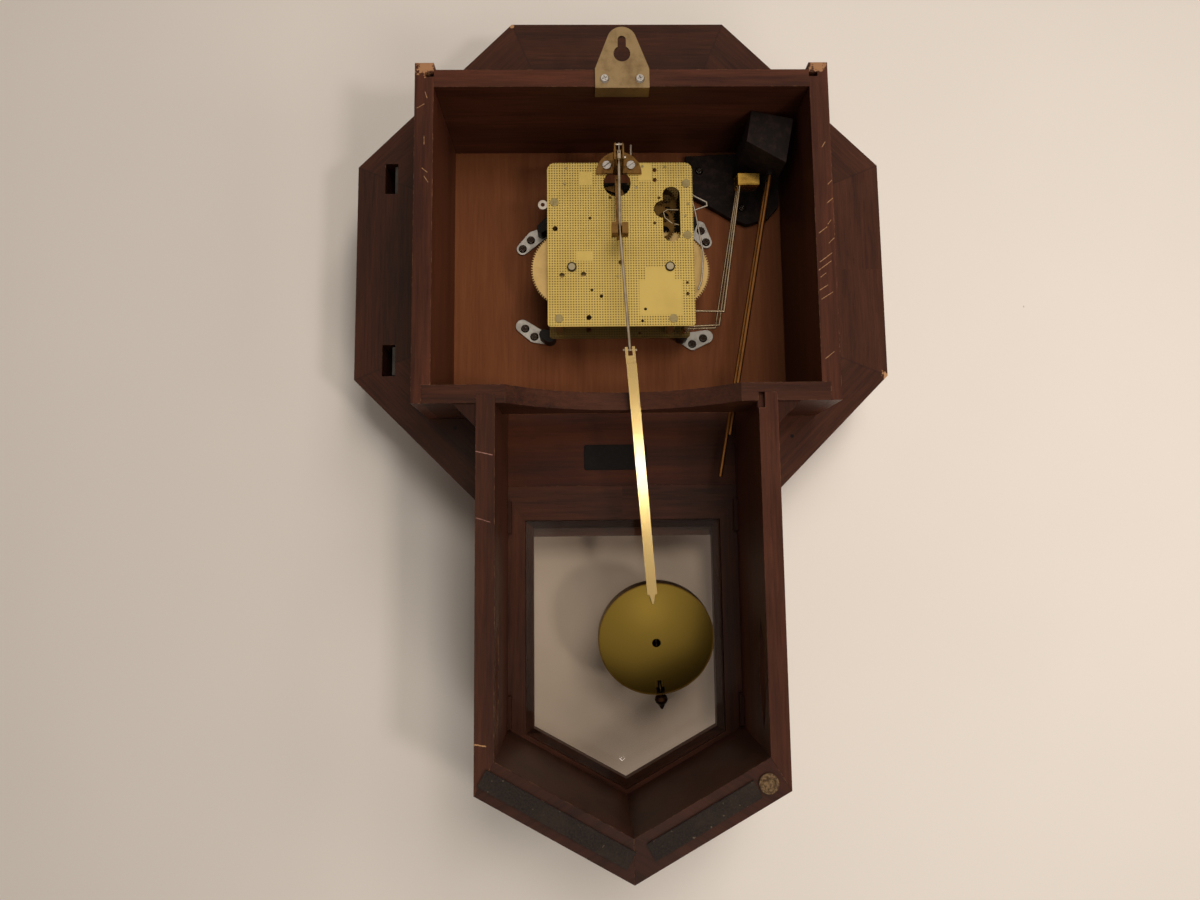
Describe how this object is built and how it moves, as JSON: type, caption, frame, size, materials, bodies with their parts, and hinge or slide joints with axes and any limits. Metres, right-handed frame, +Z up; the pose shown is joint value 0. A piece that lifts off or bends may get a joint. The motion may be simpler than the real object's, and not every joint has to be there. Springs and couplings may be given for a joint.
{
  "type": "wall regulator clock",
  "caption": "Wall clock with octagonal head, glazed round door, pointed drop with window, brass striking movement, rod chime and swinging pendulum.",
  "frame": {"origin": "centre of the round part of the hanger plate's keyhole, on the plane of the wall", "axes": "+Z up the wall, -Y out of the wall towards the viewer of the dial, +X towards that viewer's right"},
  "size_m": [0.3403, 0.1226, 0.517],
  "materials": {
    "wood_dark": "satin lacquer",
    "wood_warm": "bare sanded rear face",
    "wood_blocks": "bare",
    "plate_brass": "pressed with a fine dimple grid",
    "gear_brass": "cut and washed",
    "bezel_brass": "polished",
    "bob_brass": "dull lacquer",
    "fork_brass": "tarnished",
    "steel": "bright",
    "steel_dark": "dull",
    "hanger": "warm satin",
    "black_iron": "black paint",
    "black_leg": "black",
    "rod_bronze": "dark drawn bronze",
    "plate_black": "bare black",
    "hand_black": "black",
    "dial_cream": "matt print on thin card-faced metal",
    "glass": "clear",
    "felt": "felt",
    "nut_dark": "turned"
  },
  "bodies": {
    "case": {"side_board_left": "wood_dark", "side_board_right": "wood_dark", "top_rail": "wood_dark", "bottom_board": "wood_dark", "drop_side_left": "wood_dark", "drop_side_right": "wood_dark", "drop_floor_left": "wood_dark", "drop_floor_right": "wood_dark", "glue_blocks": "wood_blocks", "octagon_ring": "wood_dark", "dial_board": "wood_warm", "label_board": "wood_warm", "label_plate": "plate_black", "window_frame": "wood_dark", "window_glass": "glass", "hanger_plate": "hanger", "wall_pads": "felt", "screws": "steel", "hinge_straps": "steel_dark", "catch_magnet": "steel_dark", "dial_plate": "dial_cream", "winding_collets": "bezel_brass", "back_plate": "plate_brass", "front_plate": "plate_brass", "pillars": "steel", "legs": "black_leg", "feet": "steel", "suspension_bracket": "fork_brass", "springs_and_levers": "steel", "gong_block": "black_iron", "chime_rods": "rod_bronze"},
    "door": {"door_frame": "wood_dark", "door_bezel": "bezel_brass", "door_glass": "glass", "door_knob": "bezel_brass", "door_hardware": "steel_dark"},
    "minute_arbor": {"centre_wheel": "gear_brass", "minute_hand": "hand_black", "hand_nut": "bezel_brass"},
    "hour_pipe": {"hour_wheel": "gear_brass", "hour_hand": "hand_black"},
    "motion_wheel": {"minute_wheel": "gear_brass"},
    "going_barrel": {"time_barrel": "gear_brass"},
    "third_arbor": {"third_wheel": "gear_brass"},
    "escape_arbor": {"escape_wheel": "gear_brass"},
    "crutch": {"crutch": "fork_brass"},
    "strike_second_arbor": {"strike_wheel": "gear_brass"},
    "strike_barrel": {"strike_barrel": "gear_brass"},
    "warning_arbor": {"warning_wheel": "gear_brass"},
    "fly_arbor": {"fly": "steel"},
    "time_winder": {"time_winding_arbor": "steel"},
    "strike_winder": {"strike_winding_arbor": "steel"},
    "hammer_rear": {"hammer_rear": "steel"},
    "hammer_middle": {"hammer_middle": "steel"},
    "hammer_front": {"hammer_front": "steel"},
    "pendulum_leader": {"pendulum_leader": "steel"},
    "pendulum": {"pendulum_stick": "bezel_brass", "bob_shell": "bezel_brass", "bob_back": "bob_brass"},
    "rating_nut": {"rating_nut": "nut_dark"}
  },
  "joints": [
    {"name": "door_swing", "type": "hinge", "parent": "case", "child": "door", "pos_m": [0.1704, -0.09015, -0.10935], "axis": [0, 0, 1], "range_deg": [0, 100]},
    {"name": "minute_turn", "type": "hinge", "parent": "case", "child": "minute_arbor", "pos_m": [0.0005, -0.055, -0.1116], "axis": [0, 1, 0], "continuous": true},
    {"name": "hour_turn", "type": "hinge", "parent": "case", "child": "hour_pipe", "pos_m": [0.0005, -0.055, -0.1116], "axis": [0, 1, 0], "continuous": true},
    {"name": "motion_turn", "type": "hinge", "parent": "case", "child": "motion_wheel", "pos_m": [0.0005, -0.055, -0.0916], "axis": [0, 1, 0], "continuous": true},
    {"name": "going_barrel_turn", "type": "hinge", "parent": "case", "child": "going_barrel", "pos_m": [0.0308, -0.055, -0.1145], "axis": [0, 1, 0], "continuous": true},
    {"name": "third_turn", "type": "hinge", "parent": "case", "child": "third_arbor", "pos_m": [0.01931, -0.055, -0.08328], "axis": [0, 1, 0], "continuous": true},
    {"name": "escape_turn", "type": "hinge", "parent": "case", "child": "escape_arbor", "pos_m": [0.00675, -0.055, -0.07004], "axis": [0, 1, 0], "continuous": true},
    {"name": "strike_second_turn", "type": "hinge", "parent": "case", "child": "strike_second_arbor", "pos_m": [-0.02072, -0.055, -0.08656], "axis": [0, 1, 0], "continuous": true},
    {"name": "strike_barrel_turn", "type": "hinge", "parent": "case", "child": "strike_barrel", "pos_m": [-0.0298, -0.055, -0.1145], "axis": [0, 1, 0], "continuous": true},
    {"name": "warning_turn", "type": "hinge", "parent": "case", "child": "warning_arbor", "pos_m": [-0.02371, -0.055, -0.07033], "axis": [0, 1, 0], "continuous": true},
    {"name": "fly_turn", "type": "hinge", "parent": "case", "child": "fly_arbor", "pos_m": [-0.00972, -0.055, -0.06366], "axis": [0, 1, 0], "continuous": true},
    {"name": "time_winding", "type": "hinge", "parent": "case", "child": "time_winder", "pos_m": [0.0308, -0.055, -0.1145], "axis": [0, 1, 0], "range_deg": [0, 2520]},
    {"name": "strike_winding", "type": "hinge", "parent": "case", "child": "strike_winder", "pos_m": [-0.0298, -0.055, -0.1145], "axis": [0, 1, 0], "range_deg": [0, 2520]},
    {"name": "hammer_rear_lift", "type": "hinge", "parent": "case", "child": "hammer_rear", "pos_m": [-0.0424, -0.055, -0.14], "axis": [0, 1, 0], "range_deg": [0, 8]},
    {"name": "hammer_middle_lift", "type": "hinge", "parent": "case", "child": "hammer_middle", "pos_m": [-0.0406, -0.055, -0.1485], "axis": [0, 1, 0], "range_deg": [0, 8]},
    {"name": "hammer_front_lift", "type": "hinge", "parent": "case", "child": "hammer_front", "pos_m": [-0.0406, -0.055, -0.1485], "axis": [0, 1, 0], "range_deg": [0, 8]},
    {"name": "pendulum_swing", "type": "hinge", "parent": "case", "child": "pendulum_leader", "pos_m": [0.0017, -0.0215, -0.05], "axis": [0, 1, 0], "range_deg": [-6.3, 1.7]},
    {"name": "crutch_swing", "type": "hinge", "parent": "case", "child": "crutch", "pos_m": [0.0022, -0.055, -0.0609], "axis": [0, 1, 0], "range_deg": [-8.3, 2.3]},
    {"name": "stick_lean", "type": "hinge", "parent": "pendulum_leader", "child": "pendulum", "pos_m": [-0.0031, -0.0215, -0.1714], "axis": [1, 0, 0], "range_deg": [0, 16]},
    {"name": "rating_turn", "type": "hinge", "parent": "pendulum", "child": "rating_nut", "pos_m": [-0.02187, -0.07341, -0.37961], "axis": [0.0872, 0.241, 0.9666], "continuous": true}
  ],
  "couplings": [
    {"joint": "hour_turn", "follows": "minute_turn", "ratio": 0.083333},
    {"joint": "motion_turn", "follows": "minute_turn", "ratio": -0.33333},
    {"joint": "going_barrel_turn", "follows": "minute_turn", "ratio": -0.21875},
    {"joint": "third_turn", "follows": "minute_turn", "ratio": -2.7778},
    {"joint": "escape_turn", "follows": "minute_turn", "ratio": 12.821},
    {"joint": "strike_barrel_turn", "follows": "strike_second_turn", "ratio": -0.17708},
    {"joint": "warning_turn", "follows": "strike_second_turn", "ratio": -3.7143},
    {"joint": "fly_turn", "follows": "strike_second_turn", "ratio": 15.476},
    {"joint": "crutch_swing", "follows": "pendulum_swing", "ratio": 1.2954}
  ]
}
